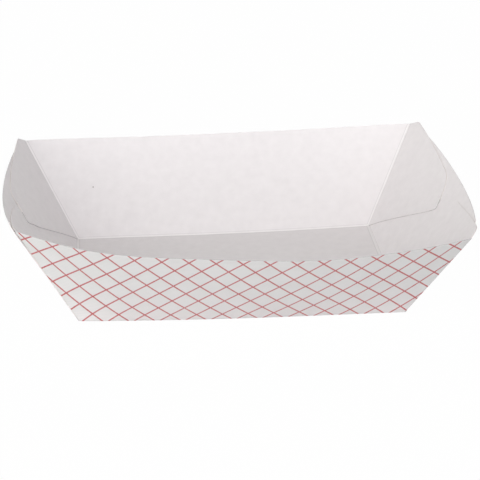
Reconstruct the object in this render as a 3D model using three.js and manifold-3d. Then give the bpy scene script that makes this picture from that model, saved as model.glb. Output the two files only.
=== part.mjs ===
// Paper food tray: one blank of coated board, scored, folded up and glued at its two ends.
// Millimetres, +Z up. The origin is the centre of the base, on its underside.

import * as THREE from 'three';
import { mergeVertices } from 'three/addons/utils/BufferGeometryUtils.js';
import Module from 'manifold-3d';

const wasm = await Module();
wasm.setup();

// Board
const BOARD = 0.5;              // thickness of the sheet
const BEAD_RADIUS = 0.32;       // the score swells a little where it is folded
const SCORE_HEIGHT = 0.37;      // of the middle of a bead round the base, above the table
const WELD = 0.002;             // points closer than this are one point
const GLUE_BITE = 0.12;         // how far glued layers press into each other

// Base panel, between its scores
const BASE_LENGTH = 168;
const BASE_WIDTH = 111;

// The folded base has sprung: two opposite corners, front left and back right, curl up off
// the table, and the band between them lies flat
const CORNER_CURL = 2.1;
const FLAT_BAND = 0.35;         // half the band, as a share of the way to a curled corner

// Corner scores, from a base corner up to the rim
const CORNER_LENGTH = 63.5;
// how far each corner of the rim stands out past its base corner, along and across;
// the tray has sprung, so the four differ
const CORNER_LEAN = {
  frontLeft: { along: 29.6, across: 10.7 },
  frontRight: { along: 25.9, across: 26.4 },
  backLeft: { along: 27.6, across: 14.9 },
  backRight: { along: 24.9, across: 16.0 },
};

// Long walls: the middle of each rim bows outwards, and the panel bellies a little below it
const WALL_BOW = { front: 14.6, back: 13.5 };
const WALL_BOW_SKEW = { front: -0.28, back: 0 };  // the bow's lean towards the left end
const WALL_BOW_POWER = 3.2;
const WALL_BELLY = 0.7;

// End walls: an arched top edge on a panel that bows outwards
const END_BOW = { left: 6.9, right: 10.7 };
const END_BOW_POWER = 2;
const END_ARCH = 2.6;
const END_ARCH_POWER = 3;
const END_SIDE_SETBACK = 0.3;   // from the corner score to the free side edge of the end panel

// Corner flaps, drawn flat: along runs from the corner score's foot towards the other flap,
// up runs up the end wall
const FLAP_SHOULDER = { along: 6, up: 4.7 };    // corner of the rim past the corner score's top
const FLAP_SHOULDER_RADIUS = 3.5;
const FLAP_OVERLAP = 12.4;      // the two flaps' tips lie this far over each other
const FLAP_TIP_UP = 43.9;
const FLAP_TIP_RADIUS = 2;
const FLAP_TOP_END = { back: 14.1, up: 58.1 };  // where the long top edge ends, back from the tip
const FLAP_TOP_RADIUS = 7;
const FLAP_CLIMB = 12;          // the upper flap climbs over the lower one's tip along this length
const FLAP_CLIMB_PAST = 0.7;    // and is fully up this far past that tip

// Mesh steps
const WALL_STEPS = 32;
const WALL_RISE_STEPS = 5;
const END_STEPS = 24;
const END_RISE_STEPS = 5;
const BASE_STEPS = 10;
const FLAP_RINGS = 6;
const FLAP_EDGE_STEP = 5;
const FLAP_CURVE_STEPS = 4;     // round each rounded corner of a flap
const BEAD_SIDES = 8;

const halfLength = BASE_LENGTH / 2;
const halfWidth = BASE_WIDTH / 2;
const flapReach = (BASE_WIDTH + FLAP_OVERLAP) / 2;
const climbEnd = BASE_WIDTH - flapReach + FLAP_CLIMB_PAST;
const up = new THREE.Vector3(0, 0, 1);

// Corner points

function curlAt(x, y) {
  const share = Math.abs(x / halfLength + y / halfWidth) / 2;
  return CORNER_CURL * (Math.max(share - FLAT_BAND, 0) / (1 - FLAT_BAND)) ** 2;
}

function onScore(point) {
  point.z = SCORE_HEIGHT + curlAt(point.x, point.y);
  return point;
}

function foot(side, end) {
  return onScore(new THREE.Vector3(end * halfLength, side * halfWidth, 0));
}

function rimCorner(side, end) {
  const name = (side < 0 ? 'front' : 'back') + (end < 0 ? 'Left' : 'Right');
  const { along, across } = CORNER_LEAN[name];
  const rise = Math.sqrt(CORNER_LENGTH ** 2 - along ** 2 - across ** 2);
  return foot(side, end).add(new THREE.Vector3(end * along, side * across, rise));
}

// A wall is ruled from its score to its bowed rim. Board doesn't stretch, so where
// the rim bows outwards the straight lines up the wall keep their length and lean over.
// across goes from -1 to 1 along the wall, and rise from 0 at the score to 1 at the rim.

function wallSurface({ feet, rims, outward, bow, skew, power, belly }) {
  return (across, rise) => {
    const share = (1 + across) / 2;
    const low = onScore(feet[0].clone().lerp(feet[1], share));
    const high = rims[0].clone().lerp(rims[1], share);
    const line = high.clone().sub(low);
    const slant = Math.hypot(line.dot(outward), line.z);
    const swell = 1 - Math.abs(across) ** power;
    const lean = line.dot(outward) + bow * swell * (1 + skew * across);
    const climb = Math.sqrt(slant ** 2 - lean ** 2);
    const bulge = belly * swell * 4 * rise * (1 - rise);
    line.addScaledVector(outward, lean - line.dot(outward));
    line.z = climb;
    const side = new THREE.Vector3().crossVectors(up, outward);
    const normal = new THREE.Vector3().crossVectors(line, side).normalize();
    if (normal.dot(outward) < 0) normal.negate();
    return low.addScaledVector(line, rise).addScaledVector(normal, bulge);
  };
}

function surfaceNormal(surface, across, rise, outward) {
  const step = 0.01;
  const a = surface(across + step, rise).sub(surface(across - step, rise));
  const b = surface(across, rise + step).sub(surface(across, rise - step));
  const normal = a.cross(b).normalize();
  return normal.dot(outward) < 0 ? normal.negate() : normal;
}

function longWall(side) {
  const outward = new THREE.Vector3(0, side, 0);
  const surface = wallSurface({
    feet: [foot(side, -1), foot(side, 1)],
    rims: [rimCorner(side, -1), rimCorner(side, 1)],
    outward,
    bow: side < 0 ? WALL_BOW.front : WALL_BOW.back,
    skew: side < 0 ? WALL_BOW_SKEW.front : WALL_BOW_SKEW.back,
    power: WALL_BOW_POWER,
    belly: WALL_BELLY,
  });
  return { surface, outward };
}

function endWall(end) {
  const outward = new THREE.Vector3(end, 0, 0);
  const surface = wallSurface({
    feet: [foot(-1, end), foot(1, end)],
    rims: [rimCorner(-1, end), rimCorner(1, end)],
    outward,
    bow: end < 0 ? END_BOW.left : END_BOW.right,
    skew: 0,
    power: END_BOW_POWER,
    belly: 0,
  });
  return { surface, outward };
}

// Solids

function signedVolume(points, index) {
  let total = 0;
  const [a, b, c] = [new THREE.Vector3(), new THREE.Vector3(), new THREE.Vector3()];
  for (let i = 0; i < index.length; i += 3) {
    a.fromArray(points, 3 * index[i]);
    b.fromArray(points, 3 * index[i + 1]);
    c.fromArray(points, 3 * index[i + 2]);
    total += a.dot(b.cross(c)) / 6;
  }
  return total;
}

function solidFrom(geometry, weld = 1e-5) {
  geometry.deleteAttribute('normal');
  geometry.deleteAttribute('uv');
  const merged = mergeVertices(geometry, weld);
  const points = merged.attributes.position.array;
  const index = [];
  for (let i = 0; i < merged.index.count; i += 3) {
    const [a, b, c] = merged.index.array.slice(i, i + 3);
    if (a !== b && b !== c && c !== a) index.push(a, b, c);
  }
  if (signedVolume(points, index) < 0) index.reverse();
  return new wasm.Manifold(new wasm.Mesh({
    numProp: 3,
    vertProperties: new Float32Array(points),
    triVerts: new Uint32Array(index),
  }));
}

function solidFromFaces(positions, faces) {
  const geometry = new THREE.BufferGeometry();
  geometry.setAttribute('position', new THREE.Float32BufferAttribute(positions.flat(), 3));
  geometry.setIndex(faces.flat());
  return solidFrom(geometry);
}

const quad = (a, b, c, d) => [a, b, c, a, c, d];

// A panel is a grid of points on its middle surface, given the board's thickness: columns run
// along it, rows run up it, and place(i, j) gives a point with the surface's normal there.

function panel(columns, rows, place) {
  const positions = [];
  for (let i = 0; i <= columns; i++) {
    for (let j = 0; j <= rows; j++) {
      const { point, normal } = place(i, j);
      for (const face of [-0.5, 0.5]) {
        positions.push(point.clone().addScaledVector(normal, face * BOARD).toArray());
      }
    }
  }
  const faces = [];
  const at = (i, j, face) => 2 * (i * (rows + 1) + j) + face;
  for (let i = 0; i < columns; i++) {
    for (let j = 0; j < rows; j++) {
      faces.push(quad(at(i, j, 1), at(i + 1, j, 1), at(i + 1, j + 1, 1), at(i, j + 1, 1)));
      faces.push(quad(at(i, j, 0), at(i, j + 1, 0), at(i + 1, j + 1, 0), at(i + 1, j, 0)));
    }
    faces.push(quad(at(i, 0, 0), at(i + 1, 0, 0), at(i + 1, 0, 1), at(i, 0, 1)));
    faces.push(quad(at(i, rows, 1), at(i + 1, rows, 1), at(i + 1, rows, 0), at(i, rows, 0)));
  }
  for (let j = 0; j < rows; j++) {
    faces.push(quad(at(0, j, 1), at(0, j + 1, 1), at(0, j + 1, 0), at(0, j, 0)));
    const last = columns;
    faces.push(quad(at(last, j, 0), at(last, j + 1, 0), at(last, j + 1, 1), at(last, j, 1)));
  }
  return solidFromFaces(positions, faces);
}

// A flap has a free outline, so its points lie on rings round its middle.

function flapSheet(outline, rings, place) {
  const middle = outline.reduce((sum, p) => sum.add(p), new THREE.Vector2());
  middle.divideScalar(outline.length);
  const positions = [];
  const add = (flat) => {
    const { point, normal } = place(flat);
    for (const face of [-0.5, 0.5]) {
      positions.push(point.clone().addScaledVector(normal, face * BOARD).toArray());
    }
  };
  add(middle);
  for (let ring = 1; ring <= rings; ring++) {
    for (const corner of outline) add(middle.clone().lerp(corner, ring / rings));
  }
  const count = outline.length;
  const at = (ring, k, face) => (ring === 0 ? face : 2 * (1 + (ring - 1) * count + k % count) + face);
  const faces = [];
  for (let k = 0; k < count; k++) {
    faces.push([at(0, 0, 1), at(1, k, 1), at(1, k + 1, 1)]);
    faces.push([at(0, 0, 0), at(1, k + 1, 0), at(1, k, 0)]);
    for (let ring = 1; ring < rings; ring++) {
      faces.push(quad(at(ring, k, 1), at(ring + 1, k, 1), at(ring + 1, k + 1, 1), at(ring, k + 1, 1)));
      faces.push(quad(at(ring, k, 0), at(ring, k + 1, 0), at(ring + 1, k + 1, 0), at(ring + 1, k, 0)));
    }
    faces.push(quad(at(rings, k, 1), at(rings, k, 0), at(rings, k + 1, 0), at(rings, k + 1, 1)));
  }
  return solidFromFaces(positions, faces);
}

// A folded score is a fine round bead along the fold, a little thicker than the board.

function bead(from, to) {
  const length = from.distanceTo(to);
  const geometry = new THREE.CylinderGeometry(BEAD_RADIUS, BEAD_RADIUS, length, BEAD_SIDES);
  const direction = to.clone().sub(from).normalize();
  geometry.applyQuaternion(new THREE.Quaternion().setFromUnitVectors(new THREE.Vector3(0, 1, 0), direction));
  const middle = from.clone().lerp(to, 0.5);
  geometry.translate(middle.x, middle.y, middle.z);
  return solidFrom(geometry);
}

function beadEnd(at) {
  const geometry = new THREE.SphereGeometry(BEAD_RADIUS, BEAD_SIDES, BEAD_SIDES - 2);
  geometry.translate(at.x, at.y, at.z);
  return solidFrom(geometry);
}

// The end panels are glued outside the flaps, so they stand one board further out.

function layerStep(end) {
  const line = rimCorner(1, end).sub(foot(1, end));
  const slant = Math.hypot(line.x, line.z);
  return (BOARD - GLUE_BITE) * slant / line.z;
}

function base() {
  const left = -halfLength - layerStep(-1);
  const right = halfLength + layerStep(1);
  return panel(BASE_STEPS, BASE_STEPS, (i, j) => {
    const x = THREE.MathUtils.lerp(left, right, i / BASE_STEPS);
    const y = THREE.MathUtils.lerp(-halfWidth, halfWidth, j / BASE_STEPS);
    const inside = THREE.MathUtils.clamp(x, -halfLength, halfLength);
    return { point: new THREE.Vector3(x, y, BOARD / 2 + curlAt(inside, y)), normal: up };
  });
}

function longPanel(side) {
  const { surface, outward } = longWall(side);
  return panel(WALL_STEPS, WALL_RISE_STEPS, (i, j) => {
    const across = 2 * i / WALL_STEPS - 1;
    const rise = j / WALL_RISE_STEPS;
    return { point: surface(across, rise), normal: surfaceNormal(surface, across, rise, outward) };
  });
}

function endSlant(end) {
  const low = foot(-1, end).lerp(foot(1, end), 0.5);
  const high = rimCorner(-1, end).lerp(rimCorner(1, end), 0.5);
  return Math.hypot(high.x - low.x, high.z - low.z);
}

function endPanel(end) {
  const { surface, outward } = endWall(end);
  const reach = 1 - END_SIDE_SETBACK / halfWidth;
  const step = layerStep(end);
  return panel(END_STEPS, END_RISE_STEPS, (i, j) => {
    const across = reach * (2 * i / END_STEPS - 1);
    const top = 1 + END_ARCH / endSlant(end) * (1 - Math.abs(across) ** END_ARCH_POWER);
    const rise = top * j / END_RISE_STEPS;
    return {
      point: surface(across, rise).addScaledVector(outward, step),
      normal: surfaceNormal(surface, across, rise, outward),
    };
  });
}

// A rounded outline: each corner with a radius is replaced by a short curve.

function roundedOutline(corners) {
  const path = new THREE.Path();
  corners.forEach(({ at, radius }, k) => {
    const before = corners[(k + corners.length - 1) % corners.length].at;
    const after = corners[(k + 1) % corners.length].at;
    const start = at.clone().add(before.clone().sub(at).setLength(radius || 0));
    const finish = at.clone().add(after.clone().sub(at).setLength(radius || 0));
    if (k === 0) path.moveTo(start.x, start.y);
    else path.lineTo(start.x, start.y);
    if (radius) path.quadraticCurveTo(at.x, at.y, finish.x, finish.y);
  });
  path.closePath();
  const points = [];
  for (const curve of path.curves) {
    const fewest = curve.isLineCurve ? 1 : FLAP_CURVE_STEPS;
    const pieces = Math.max(fewest, Math.ceil(curve.getLength() / FLAP_EDGE_STEP));
    for (let n = 0; n < pieces; n++) points.push(curve.getPoint(n / pieces));
  }
  return points;
}

function cornerFlap(side, end, upper) {
  const { surface, outward } = endWall(end);
  const slant = endSlant(end);
  const near = rimCorner(side, end);
  const far = rimCorner(-side, end);
  const scoreTop = new THREE.Vector2(halfWidth - side * near.y, slant);
  const outline = roundedOutline([
    { at: new THREE.Vector2(0, 0) },
    { at: scoreTop },
    {
      at: scoreTop.clone().add(new THREE.Vector2(FLAP_SHOULDER.along, FLAP_SHOULDER.up)),
      radius: FLAP_SHOULDER_RADIUS,
    },
    { at: new THREE.Vector2(flapReach - FLAP_TOP_END.back, FLAP_TOP_END.up), radius: FLAP_TOP_RADIUS },
    { at: new THREE.Vector2(flapReach, FLAP_TIP_UP), radius: FLAP_TIP_RADIUS },
  ]);
  return flapSheet(outline, FLAP_RINGS, (flat) => {
    const rise = flat.y / slant;
    const y = side * (halfWidth - flat.x);
    const nearEdge = side * halfWidth + rise * (near.y - side * halfWidth);
    const farEdge = -side * halfWidth + rise * (far.y + side * halfWidth);
    const across = side * (2 * y - nearEdge - farEdge) / Math.abs(nearEdge - farEdge);
    const normal = surfaceNormal(surface, side * across, rise, outward);
    const climb = upper ? THREE.MathUtils.smoothstep(flat.x, climbEnd - FLAP_CLIMB, climbEnd) : 0;
    const point = surface(side * across, rise).addScaledVector(normal, -climb * (BOARD - GLUE_BITE));
    return { point, normal };
  });
}

// A score round the base follows the base's curl, so its bead is bent along it.

function baseBead(from, to, shift) {
  const points = [];
  for (let n = 0; n <= BASE_STEPS; n++) {
    points.push(onScore(from.clone().lerp(to, n / BASE_STEPS)).add(shift));
  }
  const section = new THREE.Shape().absarc(0, 0, BEAD_RADIUS, 0, 2 * Math.PI);
  return solidFrom(new THREE.ExtrudeGeometry(section, {
    extrudePath: new THREE.CatmullRomCurve3(points),
    steps: BASE_STEPS,
    curveSegments: BEAD_SIDES / 2,
    bevelEnabled: false,
  }));
}

function scoreBeads() {
  const beads = [];
  const still = new THREE.Vector3();
  for (const side of [-1, 1]) {
    beads.push(baseBead(foot(side, -1), foot(side, 1), still));
    for (const end of [-1, 1]) {
      beads.push(beadEnd(foot(side, end)));
      beads.push(bead(foot(side, end), rimCorner(side, end)));
    }
  }
  for (const end of [-1, 1]) {
    const step = new THREE.Vector3(end * layerStep(end), 0, 0);
    beads.push(baseBead(foot(-1, end), foot(1, end), step));
  }
  return beads;
}

function geometryOf(solid) {
  const { vertProperties, triVerts } = solid.getMesh();
  const geometry = new THREE.BufferGeometry();
  geometry.setAttribute('position', new THREE.BufferAttribute(vertProperties, 3));
  geometry.setIndex(new THREE.BufferAttribute(triVerts, 1));
  return geometry;
}

function trayGeometry() {
  let solid = base();
  for (const side of [-1, 1]) solid = solid.add(longPanel(side));
  for (const end of [-1, 1]) {
    solid = solid.add(endPanel(end));
    solid = solid.add(cornerFlap(-1, end, false));
    solid = solid.add(cornerFlap(1, end, true));
  }
  for (const fold of scoreBeads()) solid = solid.add(fold);
  // joining leaves specks far thinner than the board, so they are welded shut
  const welded = solidFrom(geometryOf(solid), WELD);
  const bodies = welded.decompose().sort((a, b) => b.volume() - a.volume());
  const geometry = geometryOf(bodies[0]);
  geometry.computeVertexNormals();
  return geometry;
}

const board = new THREE.MeshStandardMaterial({ color: 0xe9e6e6, roughness: 0.62, metalness: 0 });
const tray = new THREE.Mesh(trayGeometry(), board);
tray.name = 'tray';

const paperFoodTray = new THREE.Group();
paperFoodTray.add(tray);

export default paperFoodTray;
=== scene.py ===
import math

import bmesh
import bpy
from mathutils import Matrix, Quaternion, Vector


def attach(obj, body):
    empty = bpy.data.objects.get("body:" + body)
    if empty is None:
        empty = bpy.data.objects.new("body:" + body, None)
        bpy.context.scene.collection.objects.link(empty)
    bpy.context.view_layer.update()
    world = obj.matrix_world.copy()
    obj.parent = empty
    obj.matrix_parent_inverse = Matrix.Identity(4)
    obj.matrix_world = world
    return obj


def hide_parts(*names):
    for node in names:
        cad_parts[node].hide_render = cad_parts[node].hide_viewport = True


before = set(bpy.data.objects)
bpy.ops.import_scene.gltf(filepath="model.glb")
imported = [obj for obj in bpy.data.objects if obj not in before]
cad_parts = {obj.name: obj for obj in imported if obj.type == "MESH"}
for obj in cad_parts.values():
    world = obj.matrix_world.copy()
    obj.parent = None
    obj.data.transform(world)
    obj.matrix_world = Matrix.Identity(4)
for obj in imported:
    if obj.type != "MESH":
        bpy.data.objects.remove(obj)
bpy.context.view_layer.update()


# The sheet.
# The tray is one blank of thin coated board. It is printed on its outside, scored, folded up
# along the scores, and glued where its corner flaps lie inside the two end panels.

MM = 0.001
BOARD = 0.40 * MM
LAYER = 0.42 * MM                     # from the middle of one glued layer to the next
TABLE_GAP = 0.05 * MM                 # so that no face lies in the table's plane
BASE_LENGTH = 168 * MM
BASE_WIDTH = 111 * MM
CORNER_LENGTH = 63.5 * MM
CORNER_CURL = 2.1 * MM                # front left and back right, off the table
FLAT_BAND = 0.35                      # share of the way to them that still lies flat
HALF_LENGTH = BASE_LENGTH / 2
HALF_WIDTH = BASE_WIDTH / 2

# a wall's length runs from -1 to 1 between its corner scores
WAVE_RATE = 5.7                       # of the in and out wave that a relaxed rim may have
WAVE_CREST = 0.22
WIDEST_SHARE = 1.2                    # a wall's bow is held from here on

# how far each rim corner stands out past its base corner, (end, side): (along, across)
CORNER_LEAN = {
    (-1, -1): (29.6 * MM, 10.7 * MM),
    (1, -1): (25.9 * MM, 26.4 * MM),
    (-1, 1): (27.6 * MM, 14.9 * MM),
    (1, 1): (24.9 * MM, 16.0 * MM),
}


def on_base(x, y):
    """A point of the base, which curls up at two opposite corners."""
    share = abs(x / HALF_LENGTH + y / HALF_WIDTH) / 2
    curl = CORNER_CURL * (max(share - FLAT_BAND, 0) / (1 - FLAT_BAND)) ** 2
    return Vector((x, y, TABLE_GAP + BOARD / 2 + curl))


def foot(end, side):
    return on_base(end * HALF_LENGTH, side * HALF_WIDTH)


def rim_corner(end, side):
    along, across = CORNER_LEAN[end, side]
    rise = math.sqrt(CORNER_LENGTH ** 2 - along ** 2 - across ** 2)
    return foot(end, side) + Vector((end * along, side * across, rise))


def bent_wall(feet, rims, outward, bow, power, skew=0, belly=0, wave=0):
    """Place a point of a wall that is ruled from its score to a bowed rim."""
    side = Vector((0, 0, 1)).cross(outward)

    def place(across, rise):
        share = (1 + across) / 2
        low = feet[0].lerp(feet[1], share)
        low = on_base(low.x, low.y)
        line = rims[0].lerp(rims[1], share) - low
        slant = math.hypot(line.dot(outward), line.z)
        swell = 1 - min(abs(across), WIDEST_SHARE) ** power
        ripple = wave * math.cos(WAVE_RATE * (across - WAVE_CREST))
        lean = line.dot(outward) + swell * (bow * (1 + skew * across) + ripple)
        line += outward * (lean - line.dot(outward))
        line.z = math.sqrt(slant ** 2 - lean ** 2)
        normal = line.cross(side).normalized()
        if normal.dot(outward) < 0:
            normal.negate()
        return low + line * rise + normal * (belly * swell * 4 * rise * (1 - rise))

    return place


def wall_normal(place, across, rise, outward):
    """The outward normal of a wall, from two short steps along and up it."""
    step = 0.01
    run = place(across + step, rise) - place(across - step, rise)
    climb = place(across, rise + step) - place(across, rise - step)
    normal = run.cross(climb).normalized()
    return normal if normal.dot(outward) > 0 else -normal


bm = bmesh.new()
blank_uv = bm.loops.layers.uv.new("blank")
BLANK_UNIT = 0.1                      # one unit of the blank's map is this many metres


def flat_grid(columns, rows, low, high):
    """Lay a flat grid between two corners and return its vertices and faces."""
    made = bmesh.ops.create_grid(bm, x_segments=columns, y_segments=rows, size=0.5)
    verts = made["verts"]
    for v in verts:
        v.co.x = low[0] + (v.co.x + 0.5) * (high[0] - low[0])
        v.co.y = low[1] + (v.co.y + 0.5) * (high[1] - low[1])
    faces = list({face for v in verts for face in v.link_faces})
    return verts, faces


def print_map(faces, on_blank):
    """Write where each corner of the faces lies on the flat blank."""
    for face in faces:
        for loop in face.loops:
            x, y = on_blank(loop.vert.co.x, loop.vert.co.y)
            loop[blank_uv].uv = (x / BLANK_UNIT, y / BLANK_UNIT)


def face_outwards(faces, outward):
    """Turn all the faces over if they look the wrong way on the whole."""
    for face in faces:
        face.normal_update()
    total = sum((face.normal * face.calc_area() for face in faces), Vector())
    if total.dot(outward) < 0:
        bmesh.ops.reverse_faces(bm, faces=faces)


# Base panel.
# A plain rectangle between four scores. Its middle lies flat on the table, and two opposite
# corners curl up a little.

LONG_STEPS = 84
SHORT_STEPS = 56

base_verts, base_faces = flat_grid(
    LONG_STEPS, SHORT_STEPS, (-HALF_LENGTH, -HALF_WIDTH), (HALF_LENGTH, HALF_WIDTH))
print_map(base_faces, lambda x, y: (x, y))
for v in base_verts:
    v.co = on_base(v.co.x, v.co.y)
face_outwards(base_faces, Vector((0, 0, -1)))


# Long walls.
# The front and back walls flare out. Their rims bow outwards and dip in the middle, and the
# board bellies a little between the score and the rim.

RISE_STEPS = 32
WALL_BOW = {-1: 14.4 * MM, 1: 13.5 * MM}
WALL_BOW_SKEW = {-1: -0.28, 1: 0}
WALL_BOW_POWER = 3.25
WALL_BELLY = 0.69 * MM
WALL_WAVE = {-1: 0.5 * MM, 1: 0}
BLANK_SLANT = 57.6 * MM               # of a long wall on the flat blank
BLANK_SPREAD = 28.2 * MM              # of its rim past its score, at each end

for side in (-1, 1):
    outward = Vector((0, side, 0))
    place = bent_wall(
        [foot(-1, side), foot(1, side)], [rim_corner(-1, side), rim_corner(1, side)],
        outward, WALL_BOW[side], WALL_BOW_POWER, WALL_BOW_SKEW[side], WALL_BELLY, WALL_WAVE[side])
    verts, faces = flat_grid(LONG_STEPS, RISE_STEPS, (-1, 0), (1, 1))

    def on_blank(across, rise):
        half_length = HALF_LENGTH + rise * BLANK_SPREAD
        return across * half_length, side * (HALF_WIDTH + rise * BLANK_SLANT)

    print_map(faces, on_blank)
    for v in verts:
        v.co = place(v.co.x, v.co.y)
    face_outwards(faces, outward)


# End panels.
# Each end has a panel with an arched top, folded up from the base. It is glued to the outside
# of the two corner flaps, and its free side edges spring off them a little.

END_BOW = {-1: 6.9 * MM, 1: 10.7 * MM}
END_BOW_POWER = 2
END_ARCH = 2.8 * MM                   # of its top, above the line between the rim corners
END_ARCH_POWER = 8
END_SIDE_SETBACK = 0.3 * MM           # of its lower corners from the corner scores
END_TOP_HALF = 62 * MM                # half its width at the top
END_CORNER_RADIUS = 3 * MM
END_MARGIN = 9 * MM                   # unglued, along each side edge
END_SPRING = 0.65 * MM
END_ROWS = RISE_STEPS + 1             # the first row joins the panel to its score


def end_wall(end):
    """The curved surface the end's layers share, its slant and how high it stands."""
    place = bent_wall(
        [foot(end, -1), foot(end, 1)], [rim_corner(end, -1), rim_corner(end, 1)],
        Vector((end, 0, 0)), END_BOW[end], END_BOW_POWER)
    line = (rim_corner(end, -1) + rim_corner(end, 1) - foot(end, -1) - foot(end, 1)) / 2
    return place, math.hypot(line.x, line.z), line.z


def share_across(end, y, rise):
    """Where a point at y lies between the two corner scores, from -1 to 1."""
    front = -HALF_WIDTH - rise * CORNER_LEAN[end, -1][1]
    back = HALF_WIDTH + rise * CORNER_LEAN[end, 1][1]
    return (2 * y - front - back) / (back - front)


for end in (-1, 1):
    outward = Vector((end, 0, 0))
    place, slant, climb = end_wall(end)
    step_out = LAYER * slant / climb
    verts, faces = flat_grid(SHORT_STEPS, END_ROWS, (-1, -1 / RISE_STEPS), (1, 1))

    def flat_point(across, rise):
        """How far across and up the flat panel a point of the grid lies."""
        half = HALF_WIDTH - END_SIDE_SETBACK
        half += rise * (END_TOP_HALF - half)
        into = min(max((abs(across) * half - half) / END_CORNER_RADIUS + 1, 0), 1)
        share = abs(share_across(end, across * half, rise))
        top = slant + END_ARCH * (1 - min(share, 1) ** END_ARCH_POWER)
        top -= END_CORNER_RADIUS * (1 - math.sqrt(1 - into * into))
        return across * half, rise * top, half

    def on_blank(across, rise):
        y, height, _ = flat_point(across, max(rise, 0))
        return end * (HALF_LENGTH + step_out + height), y

    print_map(faces, on_blank)
    for v in verts:
        across, rise = v.co.x, v.co.y
        if rise < -0.5 / RISE_STEPS:
            v.co = on_base(end * HALF_LENGTH, across * HALF_WIDTH)
        else:
            y, height, half = flat_point(across, rise)
            free = max(abs(y) - half + END_MARGIN, 0) / END_MARGIN
            spring = END_SPRING * free * free * rise * rise
            v.co = place(share_across(end, y, height / slant), height / slant)
            v.co += outward * (step_out + spring)
    face_outwards(faces, outward)


# Corner flaps.
# Each long wall runs on past its corner score as a flap, folded in against the end panel. The
# back flap is glued over the tip of the front one.

# drawn flat from the foot of the corner score, along the end and up it, by end or (end, side)
FLAP_TIP = {-1: (65.0 * MM, 44.8 * MM), 1: (58.4 * MM, 42.9 * MM)}
FLAP_TOP_END = {
    (-1, -1): (52.0 * MM, 55.6 * MM),
    (1, -1): (45.5 * MM, 54.8 * MM),
    (-1, 1): (51.5 * MM, 60.0 * MM),
    (1, 1): (45.0 * MM, 58.0 * MM),
}
# from the top of the corner score, by (end, side)
FLAP_SHOULDER = {
    (-1, -1): (6 * MM, 1.7 * MM),
    (1, -1): (5.5 * MM, 4.6 * MM),
    (-1, 1): (6 * MM, 4.7 * MM),
    (1, 1): (6 * MM, 4.7 * MM),
}
# how far a rounding reaches along its edges, the steps round it, and the steps along the edge
# that leads to it
TIP_ROUNDING = (2 * MM, 4, 10)
TOP_ROUNDING = (7 * MM, 5, 3)
SHOULDER_ROUNDING = {-1: (4 * MM, 4, 5), 1: (1 * MM, 4, 5)}
FLAP_COLUMNS = 24
FLAP_CLIMB = 3.5 * MM                 # of the back flap onto the front one


def flap_outline(end, side, score_top):
    """Points round a flap from the foot of its corner score to the top of it."""
    shoulder = score_top + Vector(FLAP_SHOULDER[end, side])
    corners = (
        (Vector(FLAP_TIP[end]), *TIP_ROUNDING),
        (Vector(FLAP_TOP_END[end, side]), *TOP_ROUNDING),
        (shoulder, *SHOULDER_ROUNDING[side]),
    )
    points = [Vector((0, 0))]
    for k, (at, reach, turns, steps) in enumerate(corners):
        after = corners[k + 1][0] if k + 1 < len(corners) else score_top
        last = points[-1]
        start = at + (last - at).normalized() * reach
        finish = at + (after - at).normalized() * reach
        points += [last.lerp(start, n / steps) for n in range(1, steps + 1)]
        points += [start.lerp(at, n / turns).lerp(at.lerp(finish, n / turns), n / turns)
                   for n in range(1, turns + 1)]
    return points + [score_top]


def depth_inside(outline, at):
    """How far a point lies inside an outline, or less than nothing outside it."""
    depth = math.inf
    for a, b in zip(outline, outline[1:]):
        edge = b - a
        depth = min(depth, (edge.x * (at.y - a.y) - edge.y * (at.x - a.x)) / edge.length)
    return depth


for end in (-1, 1):
    outward = Vector((end, 0, 0))
    place, slant, _ = end_wall(end)
    lower_flap = None
    for side in (-1, 1):
        score_top = Vector((-CORNER_LEAN[end, side][1], slant))
        outline = flap_outline(end, side, score_top)
        # a row joins each point of the score to a point of the outline
        rows = len(outline) - 1
        verts, faces = flat_grid(FLAP_COLUMNS, rows, (0, 0), (1, rows))
        for v in verts:
            row = round(v.co.y)
            v.co = (score_top * (row / rows)).lerp(outline[row], v.co.x).to_3d()
        score = score_top.normalized()
        blank_score = Vector((BLANK_SPREAD, BLANK_SLANT)).normalized()

        def on_blank(x, y):
            up = x * score.x + y * score.y
            off = x * score.y - y * score.x
            spot_x = blank_score.x * up + blank_score.y * off
            spot_y = blank_score.y * up - blank_score.x * off
            return end * (HALF_LENGTH + spot_x), side * (HALF_WIDTH + spot_y)

        print_map(faces, on_blank)
        for v in verts:
            x, y = v.co.x, v.co.y
            rise = y / slant
            across = share_across(end, side * (HALF_WIDTH - x), rise)
            normal = wall_normal(place, across, rise, outward)
            lift = 0
            if lower_flap:
                # the other flap's outline is drawn from the far end of the same score
                share = depth_inside(lower_flap, Vector((BASE_WIDTH - x, y))) / FLAP_CLIMB + 1
                share = min(max(share, 0), 1)
                lift = share * share * (3 - 2 * share)
            v.co = place(across, rise) - normal * (lift * LAYER)
        face_outwards(faces, outward)
        lower_flap = outline


# Folding.
# The panels are one sheet, so their shared edges are joined. Each score is rolled over a small
# radius, and the sheet then gets its thickness, with a raw cut edge all round.

FOLD_ROLL = 0.85 * MM
FOLD_ANGLE = math.radians(25)
FOLD_STEPS = 3
SHARP_ANGLE = math.radians(40)
JOIN_DISTANCE = 0.02 * MM

bmesh.ops.remove_doubles(bm, verts=bm.verts[:], dist=JOIN_DISTANCE)
bm.normal_update()
folds = [e for e in bm.edges if len(e.link_faces) == 2 and e.calc_face_angle() > FOLD_ANGLE]
bmesh.ops.bevel(
    bm, geom=folds, offset=FOLD_ROLL, offset_type='OFFSET', segments=FOLD_STEPS,
    profile=0.5, affect='EDGES', clamp_overlap=True, material=-1)

sheet_mesh = bpy.data.meshes.new("tray_sheet")
bm.to_mesh(sheet_mesh)
bm.free()
tray = bpy.data.objects.new("tray_board", sheet_mesh)
bpy.context.scene.collection.objects.link(tray)


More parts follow.
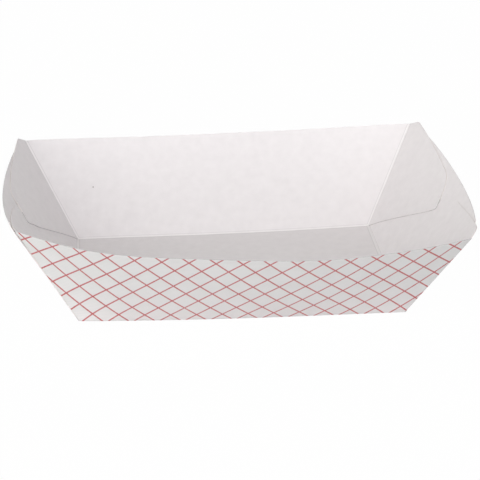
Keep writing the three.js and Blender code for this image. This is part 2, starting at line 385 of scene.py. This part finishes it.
# Finishes.
# The outside is white board with a thin red diamond lattice. The inside is plain clay coat,
# and the cut edge shows the grey fibre between the two faces, with painted light on the flap edges.

def new_material(name):
    """A new material, its node tree and its shader."""
    material = bpy.data.materials.new(name)
    material.use_nodes = True
    tree = material.node_tree
    return material, tree, tree.nodes["Principled BSDF"]


def maths(tree, operation, first, second=None, third=None):
    node = tree.nodes.new("ShaderNodeMath")
    node.operation = operation
    for slot, value in enumerate((first, second, third)):
        if isinstance(value, (int, float)):
            node.inputs[slot].default_value = value
        elif value is not None:
            tree.links.new(value, node.inputs[slot])
    return node.outputs[0]


MIX_SHARE, MIX_FIRST, MIX_SECOND, MIX_RESULT = 0, 6, 7, 2   # sockets of a colour mix


def mix_colour(tree, share, first, second):
    node = tree.nodes.new("ShaderNodeMix")
    node.data_type = 'RGBA'
    for at, value in ((MIX_SHARE, share), (MIX_FIRST, first), (MIX_SECOND, second)):
        socket = node.inputs[at]
        if isinstance(value, bpy.types.NodeSocket):
            tree.links.new(value, socket)
        else:
            socket.default_value = value
    return node.outputs[MIX_RESULT]


def object_noise(tree, scale, detail):
    coords = tree.nodes.new("ShaderNodeTexCoord")
    noise = tree.nodes.new("ShaderNodeTexNoise")
    noise.inputs["Scale"].default_value = scale
    noise.inputs["Detail"].default_value = detail
    tree.links.new(coords.outputs["Object"], noise.inputs["Vector"])
    return noise.outputs["Fac"]


def paper_bump(tree, shader, scale, height=None):
    """The fine grain of the fibre, and any height on top of it."""
    bump = tree.nodes.new("ShaderNodeBump")
    bump.inputs["Strength"].default_value = GRAIN_STRENGTH
    bump.inputs["Distance"].default_value = GRAIN_HEIGHT
    total = object_noise(tree, scale, GRAIN_DETAIL)
    if height is not None:
        total = maths(tree, 'ADD', total, height)
    tree.links.new(total, bump.inputs["Height"])
    tree.links.new(bump.outputs["Normal"], shader.inputs["Normal"])


def blank_place(tree):
    """Where a spot lies on the flat blank, along and across it, in metres."""
    uv = tree.nodes.new("ShaderNodeUVMap")
    uv.uv_map = "blank"
    apart = tree.nodes.new("ShaderNodeSeparateXYZ")
    tree.links.new(uv.outputs["UV"], apart.inputs[0])
    return [maths(tree, 'MULTIPLY', apart.outputs[axis], BLANK_UNIT) for axis in ("X", "Y")]


def past_base(tree, along, across):
    """How far a spot of the blank lies past the base's end and side scores."""
    past_end = maths(tree, 'SUBTRACT', maths(tree, 'ABSOLUTE', along), HALF_LENGTH)
    past_side = maths(tree, 'SUBTRACT', maths(tree, 'ABSOLUTE', across), HALF_WIDTH)
    return past_end, past_side


def score_distance(tree, along, across):
    """How far a spot of the blank lies from the nearest score."""
    past_end, past_side = past_base(tree, along, across)
    off_corner = maths(tree, 'SUBTRACT',
                       maths(tree, 'MULTIPLY', past_end, BLANK_SLANT / BLANK_CORNER),
                       maths(tree, 'MULTIPLY', past_side, BLANK_SPREAD / BLANK_CORNER))
    before_side = maths(tree, 'MULTIPLY', past_side, -1)
    distance = None
    for off, beyond in ((past_side, past_end), (past_end, past_side), (off_corner, before_side)):
        away = maths(tree, 'MULTIPLY_ADD', maths(tree, 'MAXIMUM', beyond, 0), SCORE_STOP,
                     maths(tree, 'ABSOLUTE', off))
        distance = maths(tree, 'MINIMUM', distance, away) if distance else away
    return distance


def falling(tree, value, high, low):
    """1 below low, 0 above high, and a straight line between."""
    node = tree.nodes.new("ShaderNodeMapRange")
    node.inputs["From Min"].default_value = high
    node.inputs["From Max"].default_value = low
    tree.links.new(value, node.inputs["Value"])
    return node.outputs["Result"]


BLANK_CORNER = math.hypot(BLANK_SLANT, BLANK_SPREAD)
GRAIN_HEIGHT = 0.12 * MM
GRAIN_STRENGTH = 0.35
GRAIN_DETAIL = 4
FLECK_DETAIL = 3
COAT_GRAIN = 900
EDGE_GRAIN = 2500

COAT_WHITE = (0.84, 0.81, 0.82, 1)
COAT_SHADE = (0.80, 0.77, 0.78, 1)
COAT_MOTTLE = (220, 2.2, -0.6)        # scale, contrast and offset
# pale strip along each fold: partly coat whitened where the score cracks it, partly a painted
# highlight on the rolled fold
SCORE_CRACK_AND_HIGHLIGHT = (0.92, 0.90, 0.90, 1)
# a thin line of painted shade beside each fold strip, where the rolled fold meets the flat panel
SCORE_PAINTED_SHADE = (0.50, 0.48, 0.48, 1)
SCORE_STOP = 50                       # how sharply a score ends where its panels do
SCORE_HALF = 0.75 * MM                # half the width of the pale strip of cracked coat and painted highlight
SCORE_SOFT = 0.2 * MM
SCORE_SHARE = 0.35
SCORE_LINE = 1.05 * MM                # from the fold to the faint line of painted shade beside the strip
SCORE_LINE_HALF = 0.22 * MM
SCORE_LINE_SHARE = 0.55
SPECK = (0.30, 0.26, 0.24, 1)
SPECK_PLACE = (-74.3 * MM, 85.0 * MM)
SPECK_INNER = 0.245 * MM
SPECK_OUTER = 0.455 * MM

# inside face
inside, tree, shader = new_material("clay_coat_inside")
scale, contrast, offset = COAT_MOTTLE
mottle = maths(tree, 'MULTIPLY_ADD', object_noise(tree, scale, GRAIN_DETAIL), contrast, offset)
colour = mix_colour(tree, mottle, COAT_WHITE, COAT_SHADE)
along_blank, across_blank = blank_place(tree)
from_score = score_distance(tree, along_blank, across_blank)
# the pale strip is partly cracked coat and partly a painted highlight along the fold
crack_and_highlight_strip = falling(tree, from_score, SCORE_HALF + SCORE_SOFT, SCORE_HALF - SCORE_SOFT)
colour = mix_colour(tree, maths(tree, 'MULTIPLY', crack_and_highlight_strip, SCORE_SHARE), colour, SCORE_CRACK_AND_HIGHLIGHT)
# a faint line of painted shade beside the strip, where the fold meets the flat panel
off_line = maths(tree, 'ABSOLUTE', maths(tree, 'SUBTRACT', from_score, SCORE_LINE))
line = falling(tree, off_line, SCORE_LINE_HALF, 0)
colour = mix_colour(tree, maths(tree, 'MULTIPLY', line, SCORE_LINE_SHARE), colour, SCORE_PAINTED_SHADE)
speck_x = maths(tree, 'SUBTRACT', along_blank, SPECK_PLACE[0])
speck_y = maths(tree, 'SUBTRACT', across_blank, SPECK_PLACE[1])
speck_off = maths(tree, 'MULTIPLY_ADD', speck_x, speck_x, maths(tree, 'MULTIPLY', speck_y, speck_y))
speck = falling(tree, maths(tree, 'SQRT', speck_off), SPECK_OUTER, SPECK_INNER)
colour = mix_colour(tree, speck, colour, SPECK)
tree.links.new(colour, shader.inputs["Base Color"])
shader.inputs["Roughness"].default_value = 0.5
shader.inputs["Specular IOR Level"].default_value = 0.35
paper_bump(tree, shader, COAT_GRAIN)

# printed outside: two families of lines cross at a pitch along and across the blank
LATTICE_ALONG = 13.196 * MM
LATTICE_ACROSS = 13.99 * MM
LATTICE_START = (-3.38 * MM, -(HALF_WIDTH + 54.34 * MM))   # of one crossing
LATTICE_SKEW = 0.0527                 # along, for each step across, as printed a little askew
LATTICE_SKEW_FROM = -(HALF_WIDTH + 28.8 * MM)
LINE_WIDTH = 0.85 * MM
LINE_SOFT = 0.18 * MM
INK_RED = (0.45, 0.055, 0.06, 1)
INK_PATCHES = (700, 0.5, 0.62)        # scale, contrast and offset
INK_HEIGHT = 0.15
PRINT_WHITE = (0.735, 0.73, 0.722, 1)
PRINT_SHADE = (0.692, 0.678, 0.668, 1)
PRINT_MOTTLE = (90, 2.0, -0.5)        # scale, contrast and offset
PRINT_BOUNCE_TINT = (0.735, 0.70, 0.69, 1)   # painted bounce light, a warmer tint near the base
BOUNCE_REACH = 0.45                     # up the wall, as a share of its slant
BOUNCE_SHARE = 0.6
HATCH_GREY = (0.62, 0.625, 0.64, 1)
HATCH_PITCH = 1.15 * MM               # of the fine lines that shade the paper
HATCH_SHARE = 0.6

outside, tree, shader = new_material("printed_outside")
along_blank, across_blank = blank_place(tree)
skewed = maths(tree, 'SUBTRACT', across_blank, LATTICE_SKEW_FROM)
skewed = maths(tree, 'MULTIPLY', skewed, LATTICE_SKEW)
u = maths(tree, 'SUBTRACT', maths(tree, 'ADD', along_blank, skewed), LATTICE_START[0])
u = maths(tree, 'DIVIDE', u, LATTICE_ALONG)
v = maths(tree, 'SUBTRACT', across_blank, LATTICE_START[1])
v = maths(tree, 'DIVIDE', v, LATTICE_ACROSS)
line_gap = 1 / math.hypot(1 / LATTICE_ALONG, 1 / LATTICE_ACROSS)
distances = []
for operation in ('ADD', 'SUBTRACT'):
    count = maths(tree, operation, u, v)
    nearest = maths(tree, 'ROUND', count)
    away = maths(tree, 'ABSOLUTE', maths(tree, 'SUBTRACT', count, nearest))
    distances.append(maths(tree, 'MULTIPLY', away, line_gap))
nearest_line = maths(tree, 'MINIMUM', *distances)
ink = falling(tree, nearest_line, (LINE_WIDTH + LINE_SOFT) / 2, (LINE_WIDTH - LINE_SOFT) / 2)
scale, contrast, offset = INK_PATCHES
patchy = maths(tree, 'MULTIPLY_ADD', object_noise(tree, scale, FLECK_DETAIL), contrast, offset)
ink_share = maths(tree, 'MULTIPLY', ink, maths(tree, 'MINIMUM', patchy, 1.0))
scale, contrast, offset = PRINT_MOTTLE
mottle = maths(tree, 'MULTIPLY_ADD', object_noise(tree, scale, GRAIN_DETAIL), contrast, offset)
paper = mix_colour(tree, mottle, PRINT_WHITE, PRINT_SHADE)
# painted bounce light: the print is tinted warmer near the base, fading up the long walls
_, up_wall = past_base(tree, along_blank, across_blank)
bounce_tint = falling(tree, up_wall, BLANK_SLANT * BOUNCE_REACH, 0)
paper = mix_colour(tree, maths(tree, 'MULTIPLY', bounce_tint, BOUNCE_SHARE), paper, PRINT_BOUNCE_TINT)
hatch = maths(tree, 'SINE', maths(tree, 'MULTIPLY', across_blank, 2 * math.pi / HATCH_PITCH))
hatch = maths(tree, 'MULTIPLY_ADD', hatch, HATCH_SHARE / 2, HATCH_SHARE / 2)
paper = mix_colour(tree, hatch, paper, HATCH_GREY)
tree.links.new(mix_colour(tree, ink_share, paper, INK_RED), shader.inputs["Base Color"])
shader.inputs["Roughness"].default_value = 0.58
shader.inputs["Specular IOR Level"].default_value = 0.3
paper_bump(tree, shader, COAT_GRAIN, maths(tree, 'MULTIPLY', ink_share, INK_HEIGHT))

# cut edge, its own grey at the rims, and painted paler on the flaps inside the tray, as painted
# light against the shade at their glued steps
RAW_EDGE = (0.46, 0.44, 0.45, 1)
FLAP_EDGE_PAINTED_LIGHT = (0.80, 0.73, 0.71, 1)
FLAP_FROM = 0.4 * MM                  # past a corner score, square to the end
EDGE_FIBRE = (1500, 0.6)              # scale and share

edge, tree, shader = new_material("raw_cut_edge")
past_end, past_side = past_base(tree, *blank_place(tree))
to_score = maths(tree, 'MULTIPLY', past_side, BLANK_SPREAD / BLANK_SLANT)
past_score = maths(tree, 'SUBTRACT', past_end, to_score)
on_flap = maths(tree, 'MULTIPLY', maths(tree, 'GREATER_THAN', past_score, FLAP_FROM),
                maths(tree, 'GREATER_THAN', past_side, 0))
# the flap edges get a paler copy of the edge colour, painted light against the shade at the steps
colour = mix_colour(tree, on_flap, RAW_EDGE, FLAP_EDGE_PAINTED_LIGHT)
scale, share = EDGE_FIBRE
fibre = maths(tree, 'MULTIPLY', object_noise(tree, scale, FLECK_DETAIL), share)
colour = mix_colour(tree, fibre, colour, COAT_SHADE)
tree.links.new(colour, shader.inputs["Base Color"])
shader.inputs["Roughness"].default_value = 0.85
paper_bump(tree, shader, EDGE_GRAIN)

for material in (outside, inside, edge):
    tray.data.materials.append(material)

thick = tray.modifiers.new("board", 'SOLIDIFY')
thick.thickness = BOARD
thick.offset = 0
thick.use_even_offset = True
thick.material_offset = 1
thick.material_offset_rim = 2
folded = bpy.data.meshes.new_from_object(
    tray.evaluated_get(bpy.context.evaluated_depsgraph_get()))
folded.name = "tray_board"
tray.modifiers.clear()
tray.data = folded
tray.data.shade_smooth()
tray.data.set_sharp_from_angle(angle=SHARP_ANGLE)

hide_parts("tray")
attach(tray, "root")


# Floor.
# A pale studio sweep that the tray stands on. It shows white to the camera and keeps a faint
# shadow under the tray.

FLOOR_SIZE = 12.0
FLOOR_WHITE = (0.86, 0.86, 0.86, 1)
FLOOR_GLOW = 0.985
WHITE = (1, 1, 1, 1)

floor_bm = bmesh.new()
bmesh.ops.create_grid(floor_bm, x_segments=1, y_segments=1, size=FLOOR_SIZE / 2)
floor_mesh = bpy.data.meshes.new("floor")
floor_bm.to_mesh(floor_mesh)
floor_bm.free()
floor = bpy.data.objects.new("floor", floor_mesh)
bpy.context.scene.collection.objects.link(floor)


def seen_directly(tree):
    """1 for what the camera sees straight, mirrored or through something, and 0 for light."""
    rays = tree.nodes.new("ShaderNodeLightPath")
    sight = rays.outputs["Is Camera Ray"]
    for way in ("Is Glossy Ray", "Is Transmission Ray"):
        sight = maths(tree, 'MAXIMUM', sight, rays.outputs[way])
    return sight


sweep, tree, shader = new_material("studio_floor")
shader.inputs["Base Color"].default_value = FLOOR_WHITE
shader.inputs["Roughness"].default_value = 0.9
shader.inputs["Specular IOR Level"].default_value = 0.0
glow = tree.nodes.new("ShaderNodeEmission")
glow.inputs["Color"].default_value = WHITE
both = tree.nodes.new("ShaderNodeMixShader")
tree.links.new(maths(tree, 'MULTIPLY', seen_directly(tree), FLOOR_GLOW), both.inputs[0])
tree.links.new(shader.outputs[0], both.inputs[1])
tree.links.new(glow.outputs[0], both.inputs[2])
tree.links.new(both.outputs[0], tree.nodes["Material Output"].inputs["Surface"])
floor.data.materials.append(sweep)


# Light.
# Three broad soft lamps in front and a weak one behind, over plain ambient light. The low one on
# the right is a little cooler, as window light is.

AMBIENT = 0.305
AMBIENT_TINT = (1.0, 0.985, 0.92, 1)
LAMP_DISTANCE = 1.6                   # metres, like the size
LAMP_SIZE = 1.0
PLAIN = (1, 1, 1)
COOL = (0.92, 0.93, 1.0)


def soft_lamp(name, azimuth, elevation, power, colour):
    """A square lamp that faces the tray, at angles in degrees from the front and the table."""
    data = bpy.data.lights.new(name, 'AREA')
    data.size = LAMP_SIZE
    data.energy = power
    data.color = colour
    lamp = bpy.data.objects.new(name, data)
    turn, tip = math.radians(azimuth), math.radians(elevation)
    way = Vector((math.sin(turn) * math.cos(tip), -math.cos(turn) * math.cos(tip), math.sin(tip)))
    lamp.location = way * LAMP_DISTANCE
    lamp.rotation_euler = way.to_track_quat('Z', 'Y').to_euler()
    bpy.context.scene.collection.objects.link(lamp)


soft_lamp("front_lamp", -15, 38, 9.2, PLAIN)
soft_lamp("left_lamp", -45, 18, 11.1, PLAIN)
soft_lamp("right_lamp", 45, 18, 6.0, COOL)
soft_lamp("back_lamp", 180, 30, 4.0, PLAIN)

world = bpy.data.worlds.new("studio")
bpy.context.scene.world = world
world.use_nodes = True
tree = world.node_tree
background = tree.nodes["Background"]
seen = seen_directly(tree)
strength = maths(tree, 'MULTIPLY_ADD', seen, 1 - AMBIENT, AMBIENT)
tree.links.new(strength, background.inputs["Strength"])
tree.links.new(mix_colour(tree, seen, AMBIENT_TINT, WHITE), background.inputs["Color"])


# Camera.
# It looks down at the front wall from a little left of the middle, through a long lens.

CAMERA_AZIMUTH = -0.1021
CAMERA_ELEVATION = 0.4049
CAMERA_ROLL = 0.0053
CAMERA_DISTANCE = 889.8 * MM
CAMERA_AIM = Vector((3.48 * MM, 0, 20.11 * MM))
FOCAL_PIXELS = 1646.2
PHOTO_SIZE = 480
SENSOR = 36

camera_data = bpy.data.cameras.new("camera")
camera_data.sensor_width = SENSOR
camera_data.lens = FOCAL_PIXELS / PHOTO_SIZE * SENSOR
camera_data.clip_start = 0.01
camera = bpy.data.objects.new("camera", camera_data)
towards = Vector((
    math.sin(CAMERA_AZIMUTH) * math.cos(CAMERA_ELEVATION),
    -math.cos(CAMERA_AZIMUTH) * math.cos(CAMERA_ELEVATION),
    math.sin(CAMERA_ELEVATION)))
camera.location = CAMERA_AIM + towards * CAMERA_DISTANCE
turn = towards.to_track_quat('Z', 'Y') @ Quaternion((0, 0, 1), CAMERA_ROLL)
camera.rotation_euler = turn.to_euler()
bpy.context.scene.collection.objects.link(camera)
bpy.context.scene.camera = camera
bpy.context.scene.view_settings.view_transform = 'Standard'
